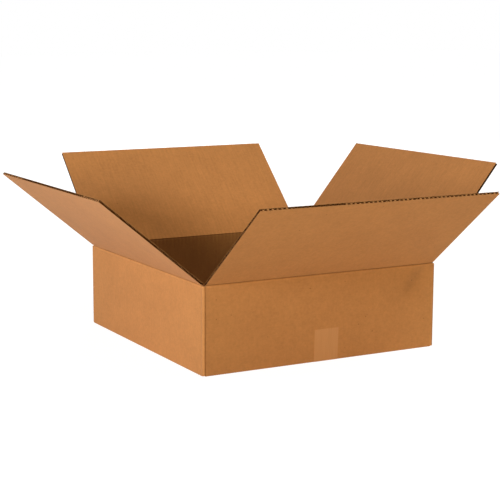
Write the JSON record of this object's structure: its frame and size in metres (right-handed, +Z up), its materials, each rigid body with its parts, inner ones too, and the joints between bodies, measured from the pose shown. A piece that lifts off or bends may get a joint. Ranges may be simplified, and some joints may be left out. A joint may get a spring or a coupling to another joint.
{
  "type": "open cardboard box",
  "caption": "Open shallow square corrugated carton standing on its taped bottom, with hinged top flaps leaning outwards.",
  "frame": {"origin": "on the surface the carton stands on, under the middle of the carton, on the underside of the tape", "axes": "+X along the front wall, +Y from the front wall to the back wall, +Z up"},
  "size_m": [0.7828, 0.8076, 0.3249],
  "materials": {
    "kraft_board": "matte kraft linerboard, solid section standing for fluted board",
    "kraft_flap_board": "matte kraft linerboard over open flutes",
    "packing_tape": "tan film tape, low sheen"
  },
  "bodies": {
    "carton": {"carton_body": "kraft_board", "bottom_tape": "packing_tape"},
    "front_flap": {"top_flap_front": "kraft_flap_board"},
    "back_flap": {"top_flap_back": "kraft_flap_board"},
    "left_flap": {"top_flap_left": "kraft_flap_board"},
    "right_flap": {"top_flap_right": "kraft_flap_board"}
  },
  "joints": [
    {"name": "front_flap_hinge", "type": "hinge", "parent": "carton", "child": "front_flap", "pos_m": [0, -0.2319, 0.15327], "axis": [-1, 0, 0], "range_deg": [-69, 141]},
    {"name": "back_flap_hinge", "type": "hinge", "parent": "carton", "child": "back_flap", "pos_m": [0, 0.2319, 0.15327], "axis": [1, 0, 0], "range_deg": [-74.4, 135.6]},
    {"name": "left_flap_hinge", "type": "hinge", "parent": "carton", "child": "left_flap", "pos_m": [-0.2291, 0, 0.15473], "axis": [0, 1, 0], "range_deg": [-69.5, 140.5]},
    {"name": "right_flap_hinge", "type": "hinge", "parent": "carton", "child": "right_flap", "pos_m": [0.2291, 0, 0.15473], "axis": [0, -1, 0], "range_deg": [-80.5, 129.5]}
  ]
}
